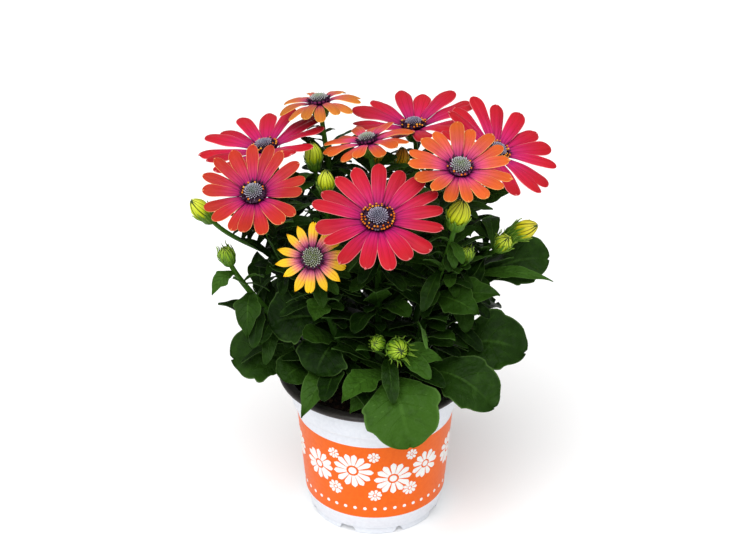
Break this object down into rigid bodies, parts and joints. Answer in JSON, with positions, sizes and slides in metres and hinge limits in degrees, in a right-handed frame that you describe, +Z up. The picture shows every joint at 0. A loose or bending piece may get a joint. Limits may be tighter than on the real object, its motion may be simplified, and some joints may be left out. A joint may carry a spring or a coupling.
{
  "type": "potted flowering plant (osteospermum)",
  "caption": "Bushy osteospermum in a round plastic nursery pot, with open daisy flowers in pink, red and orange, closed buds and dark toothed leaves",
  "frame": {"origin": "On the vertical line through the middle of the pot's base, at the height of the feet that it stands on", "axes": "+Z points up along the pot's axis, -Y points to the front of the plant, towards the viewer of the picture, and +X points to the right in that view"},
  "size_m": [0.19, 0.1634, 0.2364],
  "materials": {
    "pot_plastic": "satin",
    "compost": "matte",
    "petal_crimson": "satin",
    "petal_red_orange": "satin",
    "petal_orange": "satin",
    "petal_yellow": "satin",
    "disc_florets": "matte",
    "bud_rays": "satin",
    "leaf_green": "satin"
  },
  "bodies": {
    "root": {"pot": "pot_plastic", "soil": "compost", "rays_front": "petal_crimson", "rays_left": "petal_red_orange", "rays_back_left": "petal_crimson", "rays_top": "petal_orange", "rays_centre": "petal_orange", "rays_back": "petal_crimson", "rays_right": "petal_orange", "rays_far_right": "petal_crimson", "rays_yellow": "petal_yellow", "disc_front": "disc_florets", "disc_left": "disc_florets", "disc_back_left": "disc_florets", "disc_top": "disc_florets", "disc_centre": "disc_florets", "disc_back": "disc_florets", "disc_right": "disc_florets", "disc_far_right": "disc_florets", "disc_yellow": "disc_florets", "bud_back_left": "bud_rays", "bud_left_centre": "bud_rays", "bud_left": "bud_rays", "bud_right": "bud_rays", "bud_centre": "bud_rays", "bud_back": "bud_rays", "bud_far_right": "bud_rays", "bud_low_right": "bud_rays", "bud_small_right": "bud_rays", "bud_small_left": "bud_rays", "bud_low_front": "bud_rays", "bud_low_small": "bud_rays", "stem_front": "leaf_green", "stem_yellow": "leaf_green", "stem_left": "leaf_green", "stem_back_left": "leaf_green", "stem_top": "leaf_green", "stem_centre": "leaf_green", "stem_back": "leaf_green", "stem_right": "leaf_green", "stem_far_right": "leaf_green", "stem_bud_left": "leaf_green", "stem_bud_back": "leaf_green", "stem_bud_right": "leaf_green", "stem_bud_front": "leaf_green", "stem_bud_side": "leaf_green", "stem_bud_low": "leaf_green"}
  },
  "joints": []
}
